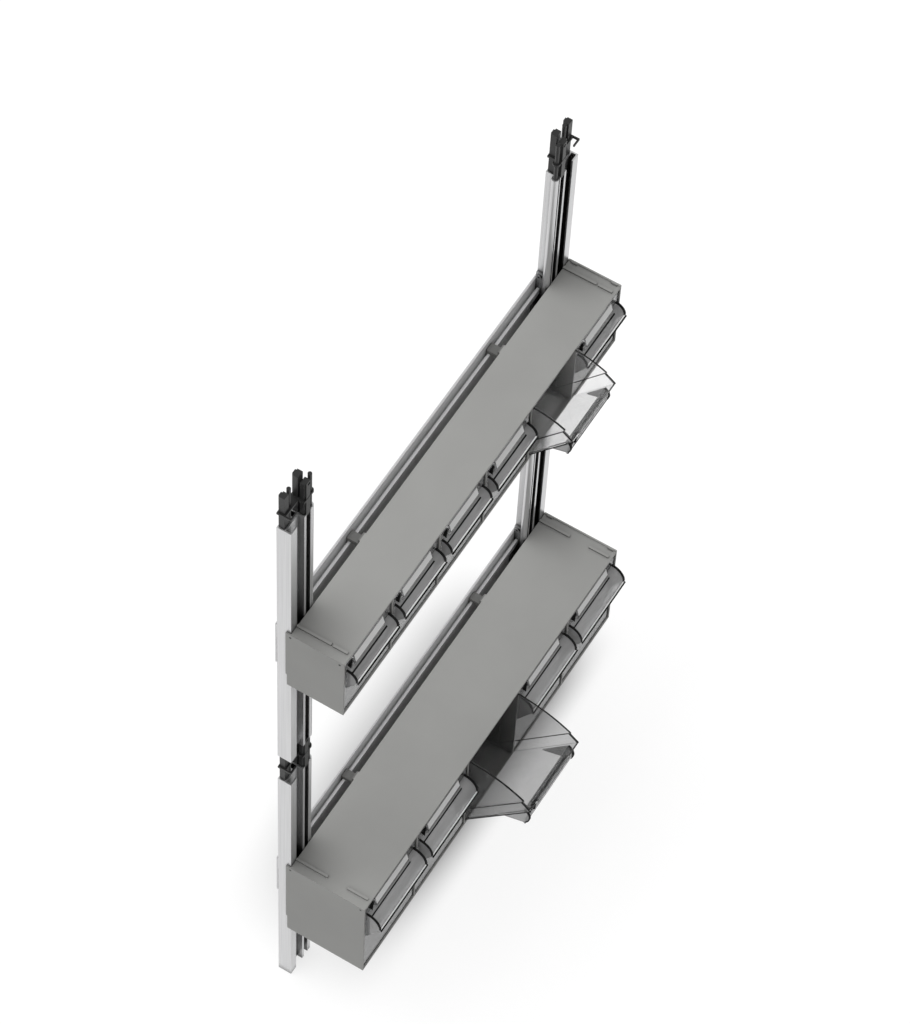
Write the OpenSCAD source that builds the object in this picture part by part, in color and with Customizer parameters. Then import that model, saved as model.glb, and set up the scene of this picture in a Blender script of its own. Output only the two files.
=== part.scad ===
// Modular rack of two stacked frames. Each frame is two extruded uprights and a cross rail,
// and each rail carries one row of clear tilting bins in a grey housing.
// X runs along the rows, Y runs back towards the wall, Z is up. The origin is the middle of
// the lower rail's back face. The upper frame is drawn part-way onto its connector pins.

/* [Rack] */
// Width of a row of bins, over its end plates
rack_w = 600; // [560:10:680]
// Height of one frame module
module_h = 500; // [440:10:600]
// Height of the rail's centre above the middle of its module
rail_rise = 7; // [0:1:20]
// Depth that the connector pins sit in the ports as drawn
engage = 6; // [4:1:20]

/* [Uprights] */
// Wall thickness of the extrusion
wall = 1.8; // [1.4:0.1:2.0]
// Depth of an upright, front to back
upright_d = 18.5; // [17.5:0.5:22]
// Width of the front flange beside the outer wall
flange_w = 11.7; // [8:0.1:14]
// Outer face to the front of the long web
web_v = 7.6; // [7:0.1:8.4]
// Outer face to the centre rib
rib_u = 26.1; // [25:0.1:28]
// Width of the lip on the centre rib
rib_lip = 3.9; // [2.5:0.1:5]
// Outer face to the inner face of the channel wall
inner_u = 40; // [38:0.5:44]
// Width of the return lip on the outer wall
outer_lip = 3.5; // [2.5:0.1:5]
// Width of the return lip on the channel wall
inner_lip = 3.5; // [2.5:0.1:5]
// Radius of the round ports in the extrusion
port_r = 2.56; // [2.3:0.01:2.8]
// Outer face to the middle of the near port
near_u = 15.2; // [14.8:0.1:15.6]
// Width of the closed chamber beside the near port
chamber_w = 6.2; // [5:0.1:6.4]
// Outer face to the start of the back wall behind the near port
back_u = 9; // [8:0.1:10]
// Length of the back wall behind the port and the chamber
back_w = 21; // [20:0.5:23]

/* [Rail] */
// Height of a rail
rail_h = 83; // [76:1:100]
// Depth of the upper band
band_t = 2.4; // [2.2:0.1:2.6]
// Thickness of the back plate
rail_t = 2; // [1.6:0.1:2.4]
// Depth of the rail's shelves in front of its back face
shelf_d = 8.8; // [8.6:0.2:10]
// Depth of the bottom lip
bottom_d = 10.8; // [9:0.2:12]
// Gap between the uprights' backs and the rail's back plate
rail_gap = 0.3; // [0.3:0.1:3]
// Thickness of the upturned hook rib
rib_t = 3.4; // [3:0.1:3.6]
// Height of the hook rib's top over the rail's centre
rib_top = 24; // [20:1:28]
// Height of the hook rib
rib_h = 10; // [8:0.5:12]
// Thickness of a shelf
shelf_t = 3; // [2:0.5:4]
// Depth of the channel below the hook rib
channel_d = 2.5; // [2:0.1:3]
// Drop of the lower shelf below the rail's centre
low_shelf = 17; // [12:1:22]
// Height of the step along the rail's top edge
edge_step = 1.2; // [0.8:0.1:1.6]

/* [Brackets] */
// Thickness of a bracket plate
bracket_t = 3; // [2:0.5:4]
// Length of the foot that reaches along the rail
foot_w = 16; // [12:1:24]
// Reach of a bracket above and below its rail
bracket_over = 11; // [9:1:16]
// Radius of a screw's shank
screw_r = 2; // [1.5:0.1:2.2]
// Radius of a screw's head
head_r = 3.6; // [3:0.1:4]
// Thickness of a screw's head
head_t = 2; // [1.5:0.1:3]
// Length of the thread behind the pieces that it clamps
thread_over = 2.5; // [1:0.5:3]

/* [Connectors] */
// Radius of a connector pin
pin_r = 2.5; // [2.2:0.01:2.7]
// Reach of the pins from each side of the collar
pin_reach = 32; // [24:1:45]
// Thickness of the collar
collar_t = 3; // [2:0.5:5]
// Reach of the short blocks from each side of the collar
block_reach = 30; // [20:1:32]
// Reach of the tall rear block above the collar
tall_reach = 38; // [32:1:45]
// Radius of the round mark in the front block
mark_r = 2.2; // [1.6:0.1:2.4]
// Depth of the round mark
mark_d = 1.5; // [1:0.1:2.5]

/* [Lower bins] */
// Number of bins in the lower row
lower_count = 5; // [3:1:7]
// Height of the lower row's housing
lower_h = 164; // [140:2:190]
// Depth of the lower row's housing in front of the uprights
lower_d = 106; // [92:1:116]
// Reach of the lower bins' grip in front of the bin's face
lower_grip = 22; // [14:1:26]
// Place of the open bin in the lower row, from the left
lower_open = 3; // [1:1:5]

/* [Upper bins] */
// Number of bins in the upper row
upper_count = 6; // [3:1:8]
// Height of the upper row's housing
upper_h = 112; // [100:1:130]
// Depth of the upper row's housing in front of the uprights
upper_d = 70; // [62:1:76]
// Reach of the upper bins' grip in front of the bin's face
upper_grip = 16; // [10:1:18]
// Place of the open bin in the upper row, from the left
upper_open = 5; // [1:1:6]

/* [Housings] */
// Thickness of the end plates
end_t = 2; // [1.8:0.1:3]
// Thickness of the walls between bins
divider_t = 4; // [3:0.2:6]
// Thickness of those walls beside the bins' fronts
fin_t = 2; // [1.6:0.1:2.6]
// Depth of the bins' wider fronts
front_d = 18; // [14:1:24]
// Distance of a cup grip's ends from the sides of its bin
grip_in = 4.5; // [2:0.5:8]
// Thickness of the top, bottom and back
shell_t = 3; // [2:0.5:4]
// Distance of the top's ridges from the housing's ends
ridge_in = 14; // [10:0.5:18]
// Width of the ridges
ridge_w = 3.5; // [2:0.5:5]
// Height of the ridges above the top
ridge_h = 2.5; // [1.5:0.5:4]
// Length of the rear ridges
rear_ridge = 45; // [36:1:52]
// Length of the front ridges, as a share of the housing's depth
front_ridge_share = 0.27; // [0.15:0.01:0.3]
// Drop of a housing's top below its rail's top
top_drop = 3.5; // [1:0.5:6]
// Reach of the end plates behind the uprights' front
cheek_d = 6; // [3:0.5:9]
// Width of a hook
hook_w = 12; // [8:1:20]
// Thickness of a hook's tooth
tooth_t = 2; // [1.4:0.1:2.2]
// Height of a hook's arm
arm_h = 6; // [4:0.5:9]
// Distance of each hook from the middle of the rack, as a share of the width
hook_share = 0.25; // [0.15:0.01:0.35]

/* [Bins] */
// Thickness of a bin's walls
bin_t = 2; // [1.5:0.1:2.5]
// Gap beside each bin
bin_gap = 0.4; // [0.3:0.1:0.8]
// Distance of the bins' pivots behind the housing's front
pivot_in = 4.5; // [4:0.5:6]
// Height of the bins' pivots above the housing's underside
pivot_up = 10; // [9:0.5:12]
// Radius of a pivot stub
stub_r = 2.5; // [2:0.1:3]
// Length of a pivot stub inside its seat
stub_in = 0.7; // [0.5:0.1:0.8]
// Height of a label
label_h = 12; // [9:0.5:13]
// Thickness of a label
label_t = 0.6; // [0.4:0.1:0.9]
// Distance that a label's lower edge stands out past its upper edge
label_lean = 3; // [1.5:0.1:4.5]

/* [Hidden] */
$fn = 48;
// Gap between pieces that slide along each other
clear = 0.3;
// Running gap round a pivot stub
run_gap = 0.05;
// Gap round a screw's shank
screw_gap = 0.1;
// Overrun of a cut past the face that it opens
over = 1;
// Gap between a bin's arc and the housing's top
arc_gap = 0.6;
// Gap behind a closed bin
back_gap = 1.5;

// Frame places
boss_r = port_r + wall;
far_u = inner_u + port_r + wall / 3;
far_v = boss_r;
near_v = web_v + wall + port_r + wall / 2;
chamber_u = rib_u - chamber_w;
frame_d = upright_d + rail_gap + rail_t;
frame_x = rack_w / 2 - end_t - clear;
low_z = -module_h / 2 - rail_rise;
mid_z = low_z + module_h + pin_reach - engage;
lift_z = mid_z + collar_t + pin_reach - engage - low_z;
top_z = low_z + lift_z + module_h + pin_reach - engage;

// Rail places, as depths from the uprights' front and heights from the rail's centre
shelf_v = frame_d - shelf_d;
rib_back_v = shelf_v + rib_t;
band_v = frame_d - band_t;
groove_floor = rib_top - rib_h + shelf_t;
channel_v = shelf_v + channel_d;

// Housing places, in the unit's own frame: back face at Y 0, rail's centre at Z 0
unit_y = -frame_d - clear;
unit_top = rail_h / 2 - top_drop;

// Bin places, from the pivot: radius of the foot and depth of the front's outer face
front_in_share = 0.75;
foot_r = pivot_up - shell_t - clear;
face_y = -pivot_in + bin_t * front_in_share;
// Thickness of the rims round a label and of the cup grip's cheeks
rim_t = 1.5;
// Drop of the front's top edge below the side walls' arc, and of the cup grip below that edge
front_drop = 5;
grip_drop = 16;
// Heights of the cup grip and of the cheeks below it, as shares of the arc's radius
grip_h_share = 0.14;
under_share = 0.24;
// Depth that a label's holder sinks into the cup grip's wall, as a share of that wall
grip_seat_share = 0.8;
// Width of the grip's brim
brim = 3;
// Where the bin's floor starts to slope and where it meets the back wall
flat_share = 0.42;
slope_share = 0.34;
// Number of flats along the grip's curve and the top arc
curve_steps = 10;
arc_steps = 14;
// Width of a label and its distance from the bin's left side, as shares of the bin's width
label_share = 0.62;
label_from_share = 0.19;
// Clearance in front of the front ridges and the end rim's lugs
ridge_gap = 4;
// Height of the end plates' notch beside the frame, as a share of the housing's height, and its
// depth, as a share of the plates' reach
notch_share = 0.2;
notch_d_share = 0.3;
// Radius of the marks moulded in the end plates, and their distance from the edges
mark_hole_r = 1.5;
mark_in = 6;

// Puts a piece that is drawn for the left side at the left or the right side of the frame.
// Its X is the distance from the outer face, its Y the depth from the uprights' front.
module at_side(side) {
    mirror([side == "right" ? 1 : 0, 0, 0]) translate([-frame_x, -frame_d, 0]) children();
}

// Extrudes an outline, drawn with Y to the right and Z up, along X
module along_x(length) {
    rotate([90, 0, 90]) linear_extrude(length) children();
}

// Walls of the upright's section, ports and chamber still closed
module upright_walls() {
    square([wall, upright_d]);
    square([flange_w, wall]);
    translate([0, upright_d - wall]) square([outer_lip, wall]);
    translate([0, web_v]) square([inner_u, wall]);
    translate([rib_u, 0]) square([wall, upright_d]);
    translate([rib_u, 0]) square([rib_lip, wall]);
    translate([inner_u - wall, 0]) square([wall, upright_d]);
    translate([inner_u - inner_lip, upright_d - wall]) square([inner_lip, wall]);
    translate([back_u, upright_d - wall]) square([back_w, wall]);
    translate([chamber_u - wall, web_v]) square([wall, upright_d - web_v]);
    translate([near_u, near_v]) circle(boss_r);
    translate([far_u, far_v]) circle(boss_r);
}

module upright_section() {
    difference() {
        upright_walls();
        translate([near_u, near_v]) circle(port_r);
        translate([far_u, far_v]) circle(port_r);
    }
}

// Holes for the side screws lie above and below the rail
function side_screw_z() = rail_h / 2 + bracket_over / 2;
function side_screw_v() = (bracket_v() + upright_d) / 2;
function bracket_v() = far_v + boss_r + clear;

module upright(side, base) {
    color("silver") at_side(side) difference() {
        translate([0, 0, base + low_z]) linear_extrude(module_h) upright_section();
        for (s = [-1, 1]) translate([inner_u - wall - over, side_screw_v(), base + s * side_screw_z()])
            rotate([0, 90, 0]) cylinder(wall + 2 * over, screw_r + screw_gap, screw_r + screw_gap);
    }
}

module rail_section() {
    difference() {
        union() {
            translate([frame_d - rail_t, -rail_h / 2]) square([rail_t, rail_h]);
            translate([band_v, rib_top - rib_h]) square([band_t, rail_h / 2 - rib_top + rib_h]);
            translate([shelf_v, rib_top - rib_h]) square([shelf_d, shelf_t]);
            translate([shelf_v, rib_top - rib_h]) square([rib_t, rib_h]);
            translate([channel_v, -low_shelf]) square([rail_t, low_shelf + rib_top - rib_h]);
            translate([shelf_v, -low_shelf - rail_t]) square([shelf_d, rail_t]);
            translate([shelf_v, -rail_h / 2]) square([rail_t, rail_h / 2 - low_shelf]);
            translate([frame_d - bottom_d, -rail_h / 2]) square([bottom_d, rail_t]);
        }
        translate([band_v - over, rail_h / 2 - edge_step]) square([over + edge_step, edge_step + over]);
    }
}

// Middle of the channel, where the bracket's foot and its screw sit
function foot_z() = (rib_top - rib_h - low_shelf) / 2;
function foot_h() = rib_top - rib_h + low_shelf - 2 * clear;
function foot_u() = inner_u + bracket_t + foot_w / 2;
// Thread behind the channel's wall, kept clear of the rail's back plate
function foot_thread() = min(thread_over, frame_d - 2 * rail_t - clear - channel_v);

module rail(base) {
    notch_w = inner_u + bracket_t + clear;
    color("gainsboro") difference() {
        translate([-frame_x, -frame_d, base]) along_x(2 * frame_x) rail_section();
        for (side = ["left", "right"]) at_side(side) {
            translate([-over, 0, base - rail_h]) cube([notch_w + over, upright_d, 2 * rail_h]);
            translate([foot_u(), channel_v - over, base + foot_z()]) rotate([-90, 0, 0])
                cylinder(rail_t + 2 * over, screw_r + screw_gap, screw_r + screw_gap);
        }
    }
}

module bracket(side, base) {
    plate_h = rail_h + 2 * bracket_over;
    hole_r = screw_r + screw_gap;
    color("lightgray") at_side(side) translate([inner_u, 0, base]) difference() {
        union() {
            translate([0, bracket_v(), -plate_h / 2])
                cube([bracket_t, upright_d - bracket_v(), plate_h]);
            translate([0, channel_v - bracket_t, foot_z() - foot_h() / 2])
                cube([bracket_t + foot_w, bracket_t, foot_h()]);
        }
        for (s = [-1, 1]) translate([-over, side_screw_v(), s * side_screw_z()])
            rotate([0, 90, 0]) cylinder(bracket_t + 2 * over, hole_r, hole_r);
        translate([bracket_t + foot_w / 2, channel_v - bracket_t - over, foot_z()])
            rotate([-90, 0, 0]) cylinder(bracket_t + 2 * over, hole_r, hole_r);
    }
}

// One pan-head screw: the head's underside at Z 0, the shank down to -reach
module screw(reach) {
    socket_r = head_r / 2;
    difference() {
        union() {
            cylinder(head_t, head_r, head_r);
            translate([0, 0, -reach]) cylinder(reach, screw_r, screw_r);
        }
        translate([0, 0, head_t / 2]) cylinder(head_t, socket_r, socket_r, $fn = 6);
    }
}

module bracket_screws(base) {
    color("dimgray") for (side = ["left", "right"]) at_side(side) {
        for (s = [-1, 1]) translate([inner_u + bracket_t, side_screw_v(), base + s * side_screw_z()])
            rotate([0, 90, 0]) screw(bracket_t + wall + thread_over);
        translate([foot_u(), channel_v - bracket_t, base + foot_z()])
            rotate([90, 0, 0]) screw(bracket_t + rail_t + foot_thread());
    }
}

// Footprints of the three blocks that slide into the upright's open channels
module outer_block() {
    u0 = wall + clear;
    u1 = near_u - boss_r - clear;
    v0 = web_v + wall + clear;
    tongue_u = outer_lip + clear;
    translate([u0, v0]) square([u1 - u0, upright_d - wall - clear - v0]);
    translate([tongue_u, v0]) square([back_u - clear - tongue_u, upright_d - clear - v0]);
}

module rear_block() {
    u0 = rib_u + wall + clear;
    u1 = inner_u - wall - clear;
    v0 = web_v + wall + clear;
    tongue_u = back_u + back_w + clear;
    translate([u0, v0]) square([u1 - u0, upright_d - wall - clear - v0]);
    translate([tongue_u, v0]) square([inner_u - inner_lip - clear - tongue_u, upright_d - clear - v0]);
}

module front_block() {
    u0 = rib_u + wall + clear;
    u1 = inner_u - wall - clear;
    tongue_u = rib_u + rib_lip + clear;
    translate([u0, wall + clear]) square([u1 - u0, web_v - wall - 2 * clear]);
    translate([tongue_u, clear]) square([u1 - tongue_u, web_v - 2 * clear]);
}

// Collar: the upright's outline, with the channels that hold blocks filled in
module collar_outline() {
    upright_walls();
    square([back_u, upright_d]);
    translate([rib_u, 0]) square([inner_u - rib_u, upright_d]);
    translate([0, web_v]) square([inner_u, upright_d - web_v]);
}

module connector(side, base) {
    mark_u = (rib_u + rib_lip + inner_u) / 2;
    color([0.1, 0.1, 0.1]) at_side(side) translate([0, 0, base]) difference() {
        union() {
            linear_extrude(collar_t) difference() {
                collar_outline();
                translate([wall, wall]) square([back_u, web_v - wall]);
            }
            translate([0, 0, -block_reach]) linear_extrude(2 * block_reach + collar_t) outer_block();
            translate([0, 0, -block_reach])
                linear_extrude(block_reach + collar_t + tall_reach) rear_block();
            translate([0, 0, -block_reach]) linear_extrude(2 * block_reach + collar_t) front_block();
            for (p = [[near_u, near_v], [far_u, far_v]]) translate([p[0], p[1], -pin_reach])
                cylinder(2 * pin_reach + collar_t, pin_r, pin_r);
        }
        translate([mark_u, -over, collar_t + block_reach - 2 * mark_r]) rotate([-90, 0, 0])
            cylinder(clear + mark_d + over, mark_r, mark_r);
    }
}

// One row's housing, in the unit's own frame
module hook() {
    tooth_y = rib_back_v + clear * 2;
    tooth_z = groove_floor + clear;
    translate([-hook_w / 2, -shell_t, rib_top]) cube([hook_w, shell_t + tooth_y + tooth_t, arm_h]);
    translate([-hook_w / 2, tooth_y, tooth_z]) cube([hook_w, tooth_t, rib_top - tooth_z + arm_h]);
    translate([-hook_w / 2, -shell_t, rib_top]) cube([hook_w, shell_t * 2, unit_top - rib_top]);
}

// Spacing of the bins, and the middle of bin i
function pitch(count) = (rack_w - 2 * end_t + fin_t) / count;
function bin_x(i, count) = -rack_w / 2 + end_t - fin_t / 2 + pitch(count) * (i - 1 / 2);

module end_plate(d, h, side) {
    notch_h = h * notch_share;
    notch_y = clear + cheek_d * (1 - notch_d_share);
    x0 = side < 0 ? -rack_w / 2 : rack_w / 2 - end_t;
    liner_x = side < 0 ? -rack_w / 2 : rack_w / 2 - end_t - (divider_t - fin_t) / 2;
    blind_x = side < 0 ? -rack_w / 2 - over : rack_w / 2 - end_t / 2;
    difference() {
        union() {
            translate([x0, -d, unit_top - h]) cube([end_t, d + clear + cheek_d, h]);
            translate([liner_x, -d + front_d + shell_t, unit_top - h])
                cube([end_t + (divider_t - fin_t) / 2, d - front_d - shell_t, h]);
        }
        translate([x0 - over, notch_y, unit_top - h - over])
            cube([end_t + 2 * over, cheek_d, notch_h + over]);
        for (y = [0, -d + mark_in]) translate([blind_x, y, unit_top - mark_in]) rotate([0, 90, 0])
            cylinder(end_t / 2 + over, mark_hole_r, mark_hole_r);
    }
}

module housing(count, d, h) {
    inner_w = rack_w - 2 * end_t;
    seat_r = stub_r + run_gap;
    seat_t = stub_in + clear / 2;
    ridge_x = rack_w / 2 - ridge_in;
    difference() {
        union() {
            for (side = [-1, 1]) end_plate(d, h, side);
            translate([-inner_w / 2, -d, unit_top - shell_t]) cube([inner_w, d, shell_t]);
            translate([-inner_w / 2, -d, unit_top - h]) cube([inner_w, d, shell_t]);
            translate([-inner_w / 2, -shell_t, unit_top - h]) cube([inner_w, shell_t, h]);
            for (i = [1:count - 1]) translate([bin_x(i + 1 / 2, count), 0, unit_top - h]) {
                translate([-fin_t / 2, -d, 0]) cube([fin_t, d, h]);
                translate([-divider_t / 2, -d + front_d + shell_t, 0])
                    cube([divider_t, d - front_d - shell_t, h]);
            }
            for (s = [-1, 1]) translate([s * hook_share * rack_w, 0, 0]) hook();
            for (s = [-1, 1]) translate([s * ridge_x - ridge_w / 2, 0, unit_top - shell_t]) {
                translate([0, -rear_ridge, 0]) cube([ridge_w, rear_ridge, shell_t + ridge_h]);
                translate([0, -d + ridge_gap, 0])
                    cube([ridge_w, d * front_ridge_share, shell_t + ridge_h]);
            }
            translate([rack_w / 2 - end_t, -d, unit_top - shell_t]) {
                cube([end_t, d, shell_t + end_t]);
                for (y = [ridge_gap, d - hook_w]) translate([-end_t, y, 0])
                    cube([end_t, hook_w - ridge_gap, shell_t + end_t]);
            }
        }
        for (i = [1:count], s = [-1, 1])
            translate([bin_x(i, count) + s * (pitch(count) - fin_t) / 2, -d + pivot_in, 0])
                translate([0, 0, unit_top - h + pivot_up]) rotate([0, s * 90, 0])
                    translate([0, 0, -bin_gap]) cylinder(seat_t + bin_gap, seat_r, seat_r);
    }
}

// A row's bins: arc radius about the pivot, depth behind the pivot and angle when open
function arc_r(h) = h - shell_t - pivot_up - arc_gap;
function bin_d(d) = d - shell_t - pivot_in - back_gap;
function open_angle(d, h) = asin(bin_d(d) / arc_r(h)) - 1;
function front_top(h) = arc_r(h) - front_drop;
function label_z(h) = front_top(h) - label_h - rim_t;

// Upper and lower edge of a label's back, and the direction that it faces
function label_head(h) = [face_y, label_z(h) + label_h];
function label_foot(h) = [face_y - label_lean, label_z(h)];
function label_way() = unit2([-label_h, label_lean]);

// Back wall, sloping floor, foot and front wall of a bin as one open path
function tray_path(d, h) = let(r = arc_r(h), b = bin_d(d))
    [[b, sqrt(r * r - b * b)], [b, r * slope_share], [b * flat_share, -foot_r], [0, -foot_r],
        [face_y, -sqrt(foot_r * foot_r - face_y * face_y)], [face_y, front_top(h)]];

// Curve of the cup grip, from the front wall out and down to its brim
function grip_curve(h, reach) = let(z0 = front_top(h) - grip_drop, drop = arc_r(h) * grip_h_share)
    [for (i = [0:curve_steps]) let(a = 90 * i / curve_steps)
        [face_y - (reach - brim) * sin(a), z0 - drop * (1 - cos(a))]];

// A path moved sideways by t, with mitred corners
function unit2(v) = v / norm(v);
function side_of(a, b) = let(d = unit2(b - a)) [d[1], -d[0]];
function moved_path(p, t) = [for (i = [0:len(p) - 1])
    let(n1 = i == 0 ? side_of(p[0], p[1]) : side_of(p[i - 1], p[i]),
        n2 = i == len(p) - 1 ? n1 : side_of(p[i], p[i + 1]))
    p[i] + t * (n1 + n2) / (1 + n1 * n2)];
function reversed(p) = [for (i = [len(p) - 1:-1:0]) p[i]];

// Top edge of a side wall from the wide front back to the back wall: an arc about the pivot
function top_arc(d, h) = let(r = arc_r(h), a0 = asin((face_y + front_d) / r), a1 = asin(bin_d(d) / r))
    [for (i = [0:arc_steps - 1]) let(a = a0 + (a1 - a0) * i / arc_steps) [r * sin(a), r * cos(a)]];

// Cup grip under the label: a curved hood with a brim, closed by a cheek at each end
module grip(h, reach, w) {
    hood = grip_curve(h, reach);
    tip = hood[curve_steps];
    edge = concat([hood[0] + [bin_t, 0]], hood, [tip + [-brim, -brim]]);
    along_x(w) polygon(concat(edge, reversed(moved_path(edge, -bin_t))));
    cheek_z = front_top(h) - grip_drop - arc_r(h) * (grip_h_share + under_share);
    cheek = concat([hood[0] + [bin_t, 0]], hood, [tip - [0, brim], [face_y, cheek_z],
        [face_y + bin_t, cheek_z]]);
    for (x = [0, w - rim_t]) translate([x, 0, 0]) along_x(rim_t) polygon(cheek);
}

// Wedge that carries the label, with a rim above and below it. Its underside sinks into the
// cup grip. A closed one fills the label's place.
module label_holder(h, closed) {
    head = label_head(h);
    foot = label_foot(h);
    rim = 2 * label_t * label_way();
    end = foot + rim + rim_t * unit2(foot - head);
    seat_z = front_top(h) - grip_drop - bin_t * grip_seat_share;
    inner_y = face_y + bin_t / 2;
    bed = closed ? [] : [head + rim, head, foot, foot + rim];
    polygon(concat([[inner_y, front_top(h)], head + [0, rim_t], head + [0, rim_t] + rim], bed,
        [end, [end[0], seat_z], [inner_y, seat_z]]));
}

module bin(count, d, h, reach) {
    wide = pitch(count) - fin_t - 2 * bin_gap;
    narrow = pitch(count) - divider_t - 2 * bin_gap;
    path = tray_path(d, h);
    label_w = wide * label_share;
    label_x = -wide / 2 + wide * label_from_share;
    side = concat(path, [[face_y + front_d, front_top(h)]], top_arc(d, h));
    front_h = front_top(h) + foot_r;
    color([0.85, 0.88, 0.9, 0.6]) {
        translate([-narrow / 2, 0, 0]) along_x(narrow)
            polygon(concat(path, reversed(moved_path(path, bin_t))));
        for (s = [-1, 1]) {
            translate([s * (narrow - bin_t) / 2 - bin_t / 2, 0, 0]) along_x(bin_t) polygon(side);
            intersection() {
                translate([s * (wide - bin_t) / 2 - bin_t / 2, 0, 0]) along_x(bin_t) polygon(side);
                translate([-wide, face_y, -foot_r]) cube([2 * wide, front_d, front_h]);
            }
            translate([s * wide / 2, 0, 0]) rotate([0, s * 90, 0])
                translate([0, 0, -bin_t]) cylinder(bin_t + bin_gap + stub_in, stub_r, stub_r);
        }
        translate([-wide / 2, face_y, 0]) cube([wide, bin_t, front_top(h)]);
        translate([-wide / 2 + grip_in, 0, 0]) grip(h, reach, wide - 2 * grip_in);
        translate([label_x, 0, 0]) along_x(label_w) label_holder(h, false);
        translate([label_x - 2 * rim_t, 0, 0]) along_x(2 * rim_t) label_holder(h, true);
    }
}

module label(count, d, h) {
    wide = pitch(count) - fin_t - 2 * bin_gap;
    head = label_head(h);
    foot = label_foot(h);
    face = label_t * label_way();
    color("white") translate([-wide / 2 + wide * label_from_share, 0, 0])
        along_x(wide * label_share) polygon([head, foot, foot + face, head + face]);
}

// Places a bin or its label in its row, tilted out if it is the open one
module in_row(i, count, d, h, open, base) {
    translate([bin_x(i, count), unit_y - d + pivot_in, base + unit_top - h + pivot_up])
        rotate([i == open ? open_angle(d, h) : 0, 0, 0]) children();
}

module lower_bin(i) {
    in_row(i, lower_count, lower_d, lower_h, lower_open, 0) bin(lower_count, lower_d, lower_h, lower_grip);
}

module upper_bin(i) {
    in_row(i, upper_count, upper_d, upper_h, upper_open, lift_z)
        bin(upper_count, upper_d, upper_h, upper_grip);
}

module lower_label(i) {
    in_row(i, lower_count, lower_d, lower_h, lower_open, 0) label(lower_count, lower_d, lower_h);
}

module upper_label(i) {
    in_row(i, upper_count, upper_d, upper_h, upper_open, lift_z) label(upper_count, upper_d, upper_h);
}

module lower_housing() {
    color("darkgray") translate([0, unit_y, 0]) housing(lower_count, lower_d, lower_h);
}

module upper_housing() {
    color("darkgray") translate([0, unit_y, lift_z]) housing(upper_count, upper_d, upper_h);
}

upright("left", 0);  // lower_left_upright
upright("right", 0);  // lower_right_upright
upright("left", lift_z);  // upper_left_upright
upright("right", lift_z);  // upper_right_upright
rail(0);  // lower_rail
rail(lift_z);  // upper_rail
bracket("left", 0);  // lower_left_bracket
bracket("right", 0);  // lower_right_bracket
bracket("left", lift_z);  // upper_left_bracket
bracket("right", lift_z);  // upper_right_bracket
bracket_screws(0);  // lower_bracket_screws
bracket_screws(lift_z);  // upper_bracket_screws
connector("left", mid_z);  // mid_left_connector
connector("right", mid_z);  // mid_right_connector
connector("left", top_z);  // top_left_connector
connector("right", top_z);  // top_right_connector
lower_housing();
upper_housing();
for (i = [1:lower_count]) lower_bin(i);
for (i = [1:upper_count]) upper_bin(i);
for (i = [1:lower_count]) lower_label(i);
for (i = [1:upper_count]) upper_label(i);
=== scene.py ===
import math

import bpy
from mathutils import Matrix, Vector


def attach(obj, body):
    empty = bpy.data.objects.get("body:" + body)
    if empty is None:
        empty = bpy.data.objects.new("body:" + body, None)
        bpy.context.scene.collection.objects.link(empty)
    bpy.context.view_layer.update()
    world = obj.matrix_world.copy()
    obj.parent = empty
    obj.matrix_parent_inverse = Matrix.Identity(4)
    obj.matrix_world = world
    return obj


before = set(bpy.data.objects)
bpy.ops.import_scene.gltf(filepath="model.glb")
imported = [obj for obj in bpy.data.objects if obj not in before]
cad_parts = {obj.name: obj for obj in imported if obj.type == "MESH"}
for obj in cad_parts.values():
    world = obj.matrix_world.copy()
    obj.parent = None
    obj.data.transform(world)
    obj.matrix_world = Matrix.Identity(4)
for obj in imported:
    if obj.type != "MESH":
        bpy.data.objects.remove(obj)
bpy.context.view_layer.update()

MM = 0.001

# Sizes that the solids have and the pieces and shades below follow, in millimetres. Depths and
# heights on a bin count from its pivot, and its front's face lies at FACE.
RACK_W = 600.0
HOUSING_BACK = -21.1
HOUSING_TOP = 38.0
END_T = 2.0
FIN_T = 2.0
SHELL_T = 3.0
RIDGE_IN = 14.0
RIDGE_W = 3.5
RIDGE_H = 2.5
BIN_GAP = 0.4
BACK_GAP = 1.5
ARC_GAP = 0.6
PIVOT_IN = 4.5
PIVOT_UP = 10.0
OPEN_SLACK = math.radians(1)
FACE = -3.0
FRONT_D = 18.0
FRONT_DROP = 5.0
GRIP_DROP = 16.0
GRIP_SHARE = 0.14
GRIP_IN = 4.5
BRIM = 3.0
RIM_T = 1.5
LABEL_H = 12.0
LABEL_T = 0.6
LABEL_LEAN = 3.0
LABEL_SHARE = 0.62
LABEL_FROM_SHARE = 0.19
ROWS = {
    "lower": dict(count=5, d=106.0, h=164.0, open=3, reach=22.0, base=0.0),
    "upper": dict(count=6, d=70.0, h=112.0, open=5, reach=16.0, base=555.0),
}
for row in ROWS.values():
    row["radius"] = row["h"] - SHELL_T - PIVOT_UP - ARC_GAP
    row["depth"] = row["d"] - SHELL_T - PIVOT_IN - BACK_GAP
    row["angle"] = math.asin(row["depth"] / row["radius"]) - OPEN_SLACK
    row["pitch"] = (RACK_W - 2 * END_T + FIN_T) / row["count"]
    row["wide"] = row["pitch"] - FIN_T - 2 * BIN_GAP
    row["top"] = row["radius"] - FRONT_DROP
    row["y"] = HOUSING_BACK - row["d"] + PIVOT_IN
    row["z"] = row["base"] + HOUSING_TOP - row["h"] + PIVOT_UP

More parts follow.
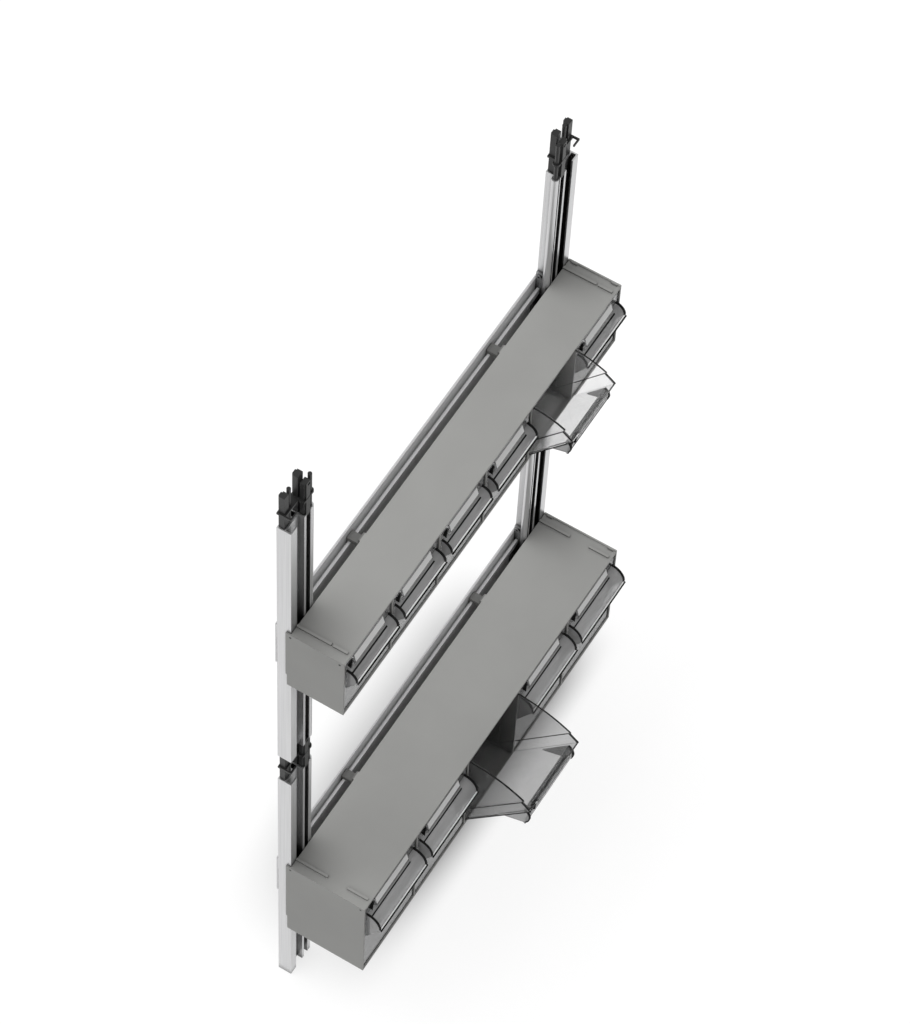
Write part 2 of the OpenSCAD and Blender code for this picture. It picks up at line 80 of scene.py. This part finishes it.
# Dark lines painted along a bin's edges, as the shade where the clear plastic's edges bend light away:
# how far each stands out of the plastic and reaches into it, and where it starts and ends across, from
# the edge outwards
LINES = {
    "grip": dict(out=0.2, inward=1.4, span=(0.3, -2.2)),
    "arc": dict(out=0.15, inward=1.0, span=(-0.9, -2.1)),
    "front": dict(out=0.1, inward=0.9, span=(0.08, -1.2)),
    "step": dict(out=0.1, inward=0.7, span=(0.08, -0.7)),
}
FRONT_FOOT = -5.9
STEP_FOOT = 30.0
# The dark line of painted shade and the painted glint on the brim, as distances from its edge, and the
# dark line of painted shade on the grip, as distances from the label's holder
BRIM_LINE = dict(out=0.05, inward=0.5, span=(1.3, 2.7))
GLINT = dict(out=0.1, inward=0.4, span=(0.0, 1.2), end_in=1.8)
HOLDER_LINE = dict(out=0.2, inward=0.4, span=(1.2, 2.8), side_in=7.0)
# Outline of the latch from the label's left end and the face, and its height above the label's foot
LATCH = ((-0.5, 0.0), (-11.0, 0.0), (-11.5, -5.0))
LATCH_Z = (4.0, 8.0)
CURVE_STEPS = 16
ARC_STEPS = 20
# Round marks on the end plates, each with a dark disc of painted shade in it
MARK_R = 1.45
MARK_SIDES = 24
MARK_Z = 32.0
MARK_FRONT = 6.0
MARK_X = (299.05, 299.9)

# Painted shade: the dark colour that the metals fall to inside their channels and grooves
RECESS_SHADE = (0.03, 0.03, 0.03)
HOUSING_TONES = (0.290, 0.290, 0.281), (0.325, 0.325, 0.315)
# Brightness that is left where shade is painted on the housings, and where these painted shades start
# and end: the inside counted from the housing's front, and the corners' depth from its back
SHADES = {"inside": 0.11, "hooks": 0.45, "ridges": 0.45, "corners": 0.66}
INSIDE_Y = (0.3, 34.0)
HOOKS_X = (292.0, 290.0)
CORNERS_X = (235.0, 290.0)
CORNERS_Y = (-90.0, -5.0)
# Tint of each row's clear plastic, and the brightness that is left in its hoods. The lower row's tint is
# darker than the upper's by painted shade, which stands for the shadow on the floor seen through its bins
CLEAR_TINT_AND_SHADE = {"lower": (0.58, 0.9), "upper": (0.92, 0.48)}
CLEAR_ROUGH = 0.03
CLEAR_IOR = 1.22
CLEAR_BODY, CLEAR_HOOD = 0.94, 0.60
HOOD_DROP = 14.0
# Cells per metre in the materials' patterns
DIE_LINES, DIE_LENGTHS = 900, 5
METAL_CLOUD = 9
PLASTIC_CLOUD = 7
WAVES = (60, 60, 24)
HAZE = 240
MOTTLE = 3


def new_material(name):
    mat = bpy.data.materials.new(name)
    mat.use_nodes = True
    nodes, links = mat.node_tree.nodes, mat.node_tree.links
    return mat, nodes, links, nodes["Principled BSDF"]


def coords(nodes, links, scale):
    where = nodes.new("ShaderNodeTexCoord")
    size = nodes.new("ShaderNodeMapping")
    size.inputs["Scale"].default_value = scale
    links.new(where.outputs["Object"], size.inputs["Vector"])
    return size.outputs["Vector"]


def noise(nodes, links, scale, detail):
    """Noise with a number of cells per metre along each axis."""
    node = nodes.new("ShaderNodeTexNoise")
    node.inputs["Scale"].default_value = 1.0
    node.inputs["Detail"].default_value = detail
    node.inputs["Roughness"].default_value = 0.5
    links.new(coords(nodes, links, scale), node.inputs["Vector"])
    return node.outputs["Fac"]


def spread(nodes, links, source, low, high, lo=0.3, hi=0.7, smooth=False):
    """Low to high while the source goes from lo to hi."""
    node = nodes.new("ShaderNodeMapRange")
    if smooth:
        node.interpolation_type = "SMOOTHSTEP"
    node.inputs["From Min"].default_value = lo
    node.inputs["From Max"].default_value = hi
    node.inputs["To Min"].default_value = low
    node.inputs["To Max"].default_value = high
    links.new(source, node.inputs["Value"])
    return node.outputs["Result"]


def calc(nodes, links, operation, *sources):
    node = nodes.new("ShaderNodeMath")
    node.operation = operation
    for i, source in enumerate(sources):
        links.new(source, node.inputs[i])
    return node.outputs["Value"]


def two_tone(nodes, links, source, dark, light):
    node = nodes.new("ShaderNodeMix")
    node.data_type = "RGBA"
    node.inputs["A"].default_value = (*dark, 1)
    node.inputs["B"].default_value = (*light, 1)
    links.new(source, node.inputs["Factor"])
    return node.outputs["Result"]


def dimmed(nodes, links, colour, mask, share):
    """The colour, down to a share of its brightness where the mask is 1."""
    dim = nodes.new("ShaderNodeMix")
    dim.data_type = "RGBA"
    dim.blend_type = "MULTIPLY"
    dim.inputs["B"].default_value = (share, share, share, 1)
    links.new(mask, dim.inputs["Factor"])
    links.new(colour, dim.inputs["A"])
    return dim.outputs["Result"]


def relief(nodes, links, shader, height, strength, distance, bevel=0.0):
    bump = nodes.new("ShaderNodeBump")
    bump.inputs["Strength"].default_value = strength
    bump.inputs["Distance"].default_value = distance
    links.new(height, bump.inputs["Height"])
    if bevel:
        edge = nodes.new("ShaderNodeBevel")
        edge.samples = 4
        edge.inputs["Radius"].default_value = bevel
        links.new(edge.outputs["Normal"], bump.inputs["Normal"])
    links.new(bump.outputs["Normal"], shader.inputs["Normal"])


def shaded(nodes, links, colour, distance, lo, hi):
    """Colour with painted shade: it falls to the recess shade colour where the surroundings close in."""
    shade = nodes.new("ShaderNodeAmbientOcclusion")
    shade.samples = 6
    shade.inputs["Distance"].default_value = distance
    tint_and_shade = nodes.new("ShaderNodeMix")
    tint_and_shade.data_type = "RGBA"
    tint_and_shade.inputs["A"].default_value = (*RECESS_SHADE, 1)
    links.new(spread(nodes, links, shade.outputs["AO"], 0, 1, lo, hi), tint_and_shade.inputs["Factor"])
    links.new(colour, tint_and_shade.inputs["B"])
    return tint_and_shade.outputs["Result"]


def region(nodes, links, steps, smooth=False, turned=None):
    """1 inside all the steps, each an axis with the millimetres where it starts and ends. X counts
    from the middle to both sides, and side counts from left to right. For a piece that is stored
    turned about X, given as the centre's depth and height and the angle, the steps are those of the
    unturned piece."""
    vector = coords(nodes, links, (1, 1, 1))
    if turned:
        y, z, angle = turned
        turn_back = nodes.new("ShaderNodeVectorRotate")
        turn_back.rotation_type = "X_AXIS"
        turn_back.inputs["Center"].default_value = (0, y * MM, z * MM)
        turn_back.inputs["Angle"].default_value = -angle
        links.new(vector, turn_back.inputs["Vector"])
        vector = turn_back.outputs["Vector"]
    axes = nodes.new("ShaderNodeSeparateXYZ")
    links.new(vector, axes.inputs["Vector"])
    total = None
    for axis, start, end in steps:
        source = axes.outputs["X" if axis == "side" else axis]
        if axis == "X":
            source = calc(nodes, links, "ABSOLUTE", source)
        value = spread(nodes, links, source, 0, 1, start * MM, end * MM, smooth)
        total = value if total is None else calc(nodes, links, "MULTIPLY", total, value)
    return total


def extruded_metal(name, along, dark, light, rough, metal=0.85, depth=0.02, lo=0.35, hi=0.8):
    """Anodised extrusion with fine die lines along one axis, with shade painted dark inside its channels."""
    mat, nodes, links, shader = new_material(name)
    scale = [DIE_LINES] * 3
    scale[along] = DIE_LENGTHS
    lines = noise(nodes, links, scale, detail=3.0)
    cloud = noise(nodes, links, [METAL_CLOUD] * 3, detail=3.0)
    colour = two_tone(nodes, links, spread(nodes, links, lines, 0, 1), dark, light)
    links.new(shaded(nodes, links, colour, depth, lo, hi), shader.inputs["Base Color"])
    links.new(spread(nodes, links, cloud, rough - 0.04, rough + 0.06), shader.inputs["Roughness"])
    shader.inputs["Metallic"].default_value = metal
    relief(nodes, links, shader, lines, strength=0.25, distance=0.04 * MM, bevel=0.15 * MM)
    return mat


def moulded(name, dark, light, rough, grain, bump=0.25, bevel=0.5, gloss=0.35, shades=()):
    """Moulded plastic with a fine spark-eroded grain. Each shade is painted shade: a region's steps, the
    share of brightness left there and whether its edges are soft."""
    mat, nodes, links, shader = new_material(name)
    fine = noise(nodes, links, [grain] * 3, detail=2.0)
    cloud = noise(nodes, links, [PLASTIC_CLOUD] * 3, detail=4.0)
    colour = two_tone(nodes, links, spread(nodes, links, cloud, 0, 1), dark, light)
    for steps, share, smooth in shades:
        colour = dimmed(nodes, links, colour, region(nodes, links, steps, smooth), share)
    links.new(colour, shader.inputs["Base Color"])
    links.new(spread(nodes, links, fine, rough - 0.05, rough + 0.07), shader.inputs["Roughness"])
    shader.inputs["Specular IOR Level"].default_value = gloss
    relief(nodes, links, shader, fine, strength=bump, distance=0.05 * MM, bevel=bevel * MM)
    return mat


def housing_plastic(name, row):
    """Grey housing plastic, with shade painted inwards in the compartments, on the hooks behind the
    back, on the sides of the top's ridges and on the top's corners at the uprights."""
    top = row["base"] + HOUSING_TOP
    front = HOUSING_BACK - row["d"]
    inner_x = RACK_W / 2 - END_T
    ridge_x = RACK_W / 2 - RIDGE_IN - RIDGE_W / 2
    regions = {
        "inside": [("X", inner_x + 0.3, inner_x + 0.1), ("Z", top - SHELL_T + 0.2, top - SHELL_T),
                   ("Y", HOUSING_BACK - 2.0, HOUSING_BACK - 2.5), ("Y", *(front + y for y in INSIDE_Y))],
        "hooks": [("X", *HOOKS_X), ("Y", HOUSING_BACK + 0.5, HOUSING_BACK + 1.5)],
        "ridges": [("X", ridge_x - 1.25, ridge_x - 0.25), ("X", inner_x - 0.5, inner_x - 1.0),
                   ("Z", top + 0.1, top + 0.3), ("Z", top + RIDGE_H - 0.1, top + RIDGE_H - 0.3)],
        "corners": [("X", *CORNERS_X), ("Y", *(HOUSING_BACK + y for y in CORNERS_Y)),
                    ("Z", top - 0.6, top - 0.3)],
    }
    shades = [(steps, SHADES[place], place == "corners") for place, steps in regions.items()]
    return moulded(name, *HOUSING_TONES, rough=0.55, grain=2600, shades=shades)


def clear_plastic(name, row, tint_and_shade, hood_share, opened):
    """Clear polystyrene, faintly grey, with moulding waves and a greyer hood. A darker tint given to it is
    painted shade.
    """
    face = row["y"] + FACE
    hood_z = row["z"] + row["top"] - HOOD_DROP
    turned = (row["y"], row["z"], row["angle"]) if opened else None
    mat, nodes, links, shader = new_material(name)
    wave = noise(nodes, links, WAVES, detail=2.0)
    haze = noise(nodes, links, [HAZE] * 3, detail=3.0)
    hood = region(nodes, links, [("Y", face - 0.2, face - 0.6), ("Z", hood_z, hood_z - 1.5)], turned=turned)
    colour = two_tone(nodes, links, spread(nodes, links, wave, 0, 1), [tint_and_shade * 0.96] * 3, [tint_and_shade] * 3)
    links.new(dimmed(nodes, links, colour, hood, hood_share), shader.inputs["Base Color"])
    links.new(spread(nodes, links, haze, CLEAR_ROUGH, CLEAR_ROUGH + 0.05), shader.inputs["Roughness"])
    links.new(spread(nodes, links, hood, CLEAR_BODY, CLEAR_HOOD, 0, 1), shader.inputs["Transmission Weight"])
    shader.inputs["IOR"].default_value = CLEAR_IOR
    relief(nodes, links, shader, wave, strength=0.02, distance=0.2 * MM)
    return mat


UPRIGHT = extruded_metal("anodised_upright", 2, (0.56, 0.56, 0.565), (0.66, 0.66, 0.665), 0.32)
RAIL = extruded_metal("anodised_rail", 0, (0.62, 0.62, 0.625), (0.72, 0.72, 0.725), 0.45, metal=0.30,
                      depth=0.004, lo=0.0, hi=0.35)
BRACKET = extruded_metal("bracket_plate", 2, (0.40, 0.405, 0.41), (0.48, 0.485, 0.49), 0.42)
STEEL = extruded_metal("screw_steel", 2, (0.30, 0.30, 0.305), (0.42, 0.42, 0.425), 0.3)
HOUSING = {name: housing_plastic(f"{name}_housing_grey", row) for name, row in ROWS.items()}
BLACK = moulded("black_connector", [0.010] * 3, [0.018] * 3, rough=0.42, grain=2200, bevel=0.2)
# Black for the lines of painted shade along the bins' edges, the discs of painted shade in the end plates'
# marks, and the latches
EDGE = moulded("black_edge", [0.004] * 3, [0.008] * 3, rough=0.6, grain=2200, bump=0.1, bevel=0.2, gloss=0.1)
CARD = moulded("label_card", (0.66, 0.66, 0.655), (0.74, 0.74, 0.735), rough=0.75, grain=1500, bump=0.15,
               bevel=0.1)
# Light for the painted glint on each bin's brim, a highlight drawn as a strip
BRIGHT = moulded("painted_glint", [0.80] * 3, [0.90] * 3, rough=0.30, grain=1500, bump=0.1, bevel=0.1)
CLEAR = {}
for name, row in ROWS.items():
    for opened, state in ((False, "shut"), (True, "open")):
        CLEAR[name, opened] = clear_plastic(f"{name}_clear_{state}", row, *CLEAR_TINT_AND_SHADE[name], opened)


def material_of(node):
    if "upright" in node:
        return UPRIGHT
    if "rail" in node:
        return RAIL
    if "screws" in node:
        return STEEL
    if "bracket" in node:
        return BRACKET
    if "connector" in node:
        return BLACK
    if "housing" in node:
        return HOUSING[node.split("_")[0]]
    if "label" in node:
        return CARD
    row, number = node.split("_")[0], int(node.split("_")[-1])
    return CLEAR[row, number == ROWS[row]["open"]]


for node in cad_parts:
    piece = bpy.data.objects[node]
    if not piece.material_slots:
        piece.data.materials.append(material_of(node))
    for place in piece.material_slots:
        place.material = material_of(node)


def mesh_piece(name, shape, place, body, mat):
    """Piece from a shape in millimetres, put in its place and carried by a body."""
    verts, faces = shape
    mesh = bpy.data.meshes.new(name)
    mesh.from_pydata([place @ Vector(v) for v in verts], [], faces)
    mesh.update()
    piece = bpy.data.objects.new(name, mesh)
    bpy.context.scene.collection.objects.link(piece)
    mesh.materials.append(mat)
    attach(piece, body)


def prism(outline, x0, x1):
    """Closed solid of a Y, Z outline between two X values."""
    n = len(outline)
    verts = [(x0, y, z) for y, z in outline] + [(x1, y, z) for y, z in outline]
    faces = [tuple(range(n)), tuple(range(2 * n - 1, n - 1, -1))]
    faces += [(i, i + n, (i + 1) % n + n, (i + 1) % n) for i in range(n)]
    return verts, faces


def ribbon(path, out, inward, x0, x1):
    """Solid strip along a Y, Z path, reaching out and inward of it."""
    outer, inner = [], []
    for i, point in enumerate(path):
        a = path[max(i - 1, 0)]
        b = path[min(i + 1, len(path) - 1)]
        d = math.hypot(b[0] - a[0], b[1] - a[1])
        side = ((b[1] - a[1]) / d, -(b[0] - a[0]) / d)
        outer.append((point[0] - side[0] * out, point[1] - side[1] * out))
        inner.append((point[0] + side[0] * inward, point[1] + side[1] * inward))
    return prism(outer + inner[::-1], x0, x1)


def joined(parts):
    verts, faces = [], []
    for v, f in parts:
        base = len(verts)
        verts += v
        faces += [tuple(i + base for i in face) for face in f]
    return verts, faces


def grip_point(row, share):
    """Point of the cup grip's curve at a share of its reach."""
    drop = row["radius"] * GRIP_SHARE * (1 - math.sqrt(max(1 - share * share, 0)))
    return FACE - (row["reach"] - BRIM) * share, row["top"] - GRIP_DROP - drop


def grip_curve(row):
    return [grip_point(row, math.sin(math.pi / 2 * i / CURVE_STEPS)) for i in range(CURVE_STEPS + 1)]


def side_arc(row):
    """Arc of a bin's side wall, from its front to its back."""
    first = math.asin((FACE + FRONT_D) / row["radius"])
    last = math.asin(row["depth"] / row["radius"])
    return [(row["radius"] * math.sin(a), row["radius"] * math.cos(a))
            for a in (first + (last - first) * i / ARC_STEPS for i in range(ARC_STEPS + 1))]


def brim_strip(row, line, x1):
    """Strip across the brim, between two distances down from its edge."""
    y, z = grip_point(row, 1)
    return ribbon([(y - down, z - down) for down in line["span"]], line["out"], line["inward"], -x1, x1)


def side_line(kind, path, side, edge):
    """Line of one kind along a path, on one side of a bin."""
    line = LINES[kind]
    x0, x1 = sorted(side * (edge + shift) for shift in line["span"])
    return ribbon(path, line["out"], line["inward"], x0, x1)


def holder_line(row, label_x):
    """Dark line of painted shade on the grip along the foot of the label's holder."""
    slope = math.hypot(LABEL_H, LABEL_LEAN)
    holder = LABEL_LEAN + (2 * LABEL_T * LABEL_H + RIM_T * LABEL_LEAN) / slope
    first, last = ((holder + past) / (row["reach"] - BRIM) for past in HOLDER_LINE["span"])
    path = [grip_point(row, share) for share in (first, (first + last) / 2, last)]
    return ribbon(path, HOLDER_LINE["out"], HOLDER_LINE["inward"], -row["wide"] / 2 + HOLDER_LINE["side_in"],
                  label_x + row["wide"] * LABEL_SHARE)


def latch(row, label_x):
    """Three-sided latch beside the label."""
    foot = row["top"] - LABEL_H - RIM_T
    verts = [(label_x + x, FACE + y, foot + z) for z in LATCH_Z for x, y in LATCH]
    return verts, [(0, 1, 2), (5, 4, 3), (0, 3, 4, 1), (1, 4, 5, 2), (2, 5, 3, 0)]


def edging(row):
    """All the dark lines of one bin, with its latch; the lines along its edges are painted shade."""
    half = row["wide"] / 2
    grip_end = half - GRIP_IN
    label_x = -half + row["wide"] * LABEL_FROM_SHARE
    front_top, step_top = (FACE, row["top"]), (FACE + FRONT_D, row["top"])
    parts = []
    for side in (-1, 1):
        parts += [
            side_line("grip", grip_curve(row), side, grip_end),
            side_line("arc", side_arc(row), side, half),
            side_line("front", [(FACE, FRONT_FOOT), front_top], side, half),
            side_line("front", [front_top, step_top], side, half),
            side_line("step", [step_top, (FACE + FRONT_D, STEP_FOOT)], side, half),
        ]
    return joined(parts + [brim_strip(row, BRIM_LINE, grip_end), holder_line(row, label_x), latch(row, label_x)])


# Each bin gets a painted glint on its brim and dark lines of painted shade along its edges, with its latch
for name, row in ROWS.items():
    glint_end = row["wide"] / 2 - GRIP_IN - GLINT["end_in"]
    for i in range(1, row["count"] + 1):
        x = -RACK_W / 2 + END_T - FIN_T / 2 + row["pitch"] * (i - 0.5)
        turn = row["angle"] if i == row["open"] else 0.0
        place = (Matrix.Scale(MM, 4) @ Matrix.Translation((x, row["y"], row["z"]))
                 @ Matrix.Rotation(turn, 4, "X"))
        body = f"{name}_bin_body_{i}"
        mesh_piece(f"{name}_bin_{i}_glint", brim_strip(row, GLINT, glint_end), place, body, BRIGHT)
        mesh_piece(f"{name}_bin_{i}_edging", edging(row), place, body, EDGE)

# Dark discs of painted shade in the round marks on the end plates
for name, row in ROWS.items():
    place = Matrix.Scale(MM, 4) @ Matrix.Translation((0, HOUSING_BACK, row["base"]))
    for side, end in (("left", -1), ("right", 1)):
        for label, y in (("rear", 0.0), ("front", MARK_FRONT - row["d"])):
            turns = [math.tau * k / MARK_SIDES for k in range(MARK_SIDES)]
            ring = [(y + MARK_R * math.cos(a), MARK_Z + MARK_R * math.sin(a)) for a in turns]
            mesh_piece(f"{name}_{side}_{label}_mark", prism(ring, *sorted(end * x for x in MARK_X)), place,
                       f"{name}_row", EDGE)

CAMERA_AT = (-2.2804, -1.2908, 4.6092)
AZ, EL, ROLL = math.radians(-61.52), math.radians(57.91), math.radians(3.54)
FOCAL_PIXELS, PICTURE_PIXELS = 4247.4, 1024
SENSOR = 36

back = Vector((math.sin(AZ) * math.cos(EL), -math.cos(AZ) * math.cos(EL), math.sin(EL)))
right = Vector((0, 0, 1)).cross(back).normalized()
up = back.cross(right)
right, up = (right * math.cos(ROLL) + up * math.sin(ROLL), up * math.cos(ROLL) - right * math.sin(ROLL))
camera = bpy.data.objects.new("camera", bpy.data.cameras.new("camera"))
camera.data.lens = FOCAL_PIXELS / PICTURE_PIXELS * SENSOR
camera.data.sensor_width = SENSOR
camera.data.clip_start = 0.1
camera.data.clip_end = 100
camera.matrix_world = Matrix.Translation(CAMERA_AT) @ Matrix((right, up, back)).transposed().to_4x4()
bpy.context.scene.collection.objects.link(camera)
bpy.context.scene.camera = camera

FLOOR_Z = -0.2575
FLOOR_HALF = 12
FLOOR_TONES = [0.25] * 3, [0.27] * 3
FLOOR_ROUGH = 0.9
# Shadow painted on the floor under the rack: the share of brightness left in its middle, its four soft
# edges, and the floor's own light outside it and in its middle
UNDER_SHARE = 0.25
FLOOR_LIFT, UNDER_LIFT = 0.77, 0.19
UNDER = [("side", -320, 0), ("side", 380, 220), ("Y", -138, -75), ("Y", 155, 10)]


def floor_material():
    """White floor that shows its own light to the eye, also through the bins and in reflections, with a
    shadow painted on it under the rack.
    """
    mat, nodes, links, shader = new_material("studio_floor")
    mottle = noise(nodes, links, [MOTTLE] * 3, detail=2.0)
    under = region(nodes, links, UNDER, smooth=True)
    ground = two_tone(nodes, links, spread(nodes, links, mottle, 0, 1), *FLOOR_TONES)
    links.new(dimmed(nodes, links, ground, under, UNDER_SHARE), shader.inputs["Base Color"])
    shader.inputs["Roughness"].default_value = FLOOR_ROUGH
    ray = nodes.new("ShaderNodeLightPath")
    seen = calc(nodes, links, "MAXIMUM", ray.outputs["Is Camera Ray"], ray.outputs["Is Transmission Ray"])
    seen = calc(nodes, links, "MAXIMUM", seen, ray.outputs["Is Glossy Ray"])
    lift = nodes.new("ShaderNodeEmission")
    strength = spread(nodes, links, under, FLOOR_LIFT, UNDER_LIFT, 0, 1)
    links.new(calc(nodes, links, "MULTIPLY", strength, seen), lift.inputs["Strength"])
    both = nodes.new("ShaderNodeAddShader")
    links.new(shader.outputs[0], both.inputs[0])
    links.new(lift.outputs[0], both.inputs[1])
    links.new(both.outputs[0], nodes["Material Output"].inputs["Surface"])
    return mat


corners = [(-1, -1), (1, -1), (1, 1), (-1, 1)]
floor_mesh = bpy.data.meshes.new("floor")
floor_mesh.from_pydata([(x * FLOOR_HALF, y * FLOOR_HALF, FLOOR_Z) for x, y in corners], [], [(0, 1, 2, 3)])
floor_mesh.materials.append(floor_material())
floor = bpy.data.objects.new("floor", floor_mesh)
bpy.context.scene.collection.objects.link(floor)

# Light from all round: the direction that it is strongest from, its least and greatest strength, and
# the cosines to that direction between which it grows
SKY_FROM = (-0.42, 0.30, 0.86)
SKY_LEAST, SKY_MOST = 0.42, 1.25
SKY_COSINES = (-0.2, 1.0)


def studio_world():
    """White surroundings to the eye, and an uneven sky to light the rack."""
    world = bpy.data.worlds.new("studio")
    world.use_nodes = True
    nodes, links = world.node_tree.nodes, world.node_tree.links
    sky = nodes["Background"]
    sky.inputs["Color"].default_value = (1, 1, 1, 1)
    way = nodes.new("ShaderNodeTexCoord")
    toward = nodes.new("ShaderNodeVectorMath")
    toward.operation = "DOT_PRODUCT"
    toward.inputs[1].default_value = SKY_FROM
    links.new(way.outputs["Generated"], toward.inputs[0])
    strength = spread(nodes, links, toward.outputs["Value"], SKY_LEAST, SKY_MOST, *SKY_COSINES)
    links.new(strength, sky.inputs["Strength"])
    white = nodes.new("ShaderNodeBackground")
    white.inputs["Color"].default_value = (1, 1, 1, 1)
    ray = nodes.new("ShaderNodeLightPath")
    pick = nodes.new("ShaderNodeMixShader")
    seen = calc(nodes, links, "MAXIMUM", ray.outputs["Is Camera Ray"], ray.outputs["Is Transmission Ray"])
    links.new(seen, pick.inputs["Fac"])
    links.new(sky.outputs[0], pick.inputs[1])
    links.new(white.outputs[0], pick.inputs[2])
    links.new(pick.outputs[0], nodes["World Output"].inputs["Surface"])
    return world


def area_light(name, place, aim, size, power):
    lamp = bpy.data.objects.new(name, bpy.data.lights.new(name, "AREA"))
    lamp.data.shape = "RECTANGLE"
    lamp.data.size, lamp.data.size_y = size
    lamp.data.energy = power
    lamp.location = place
    lamp.rotation_euler = (Vector(aim) - Vector(place)).to_track_quat("-Z", "Y").to_euler()
    bpy.context.scene.collection.objects.link(lamp)


bpy.context.scene.world = studio_world()
area_light("key", place=(-1.2, 1.4, 4.0), aim=(0, 0, 0.3), size=(2.4, 2.4), power=22)
area_light("side", place=(1.6, -3.0, 2.6), aim=(0, 0, 0.3), size=(1.2, 1.8), power=8)

bpy.context.scene.view_settings.view_transform = "Standard"
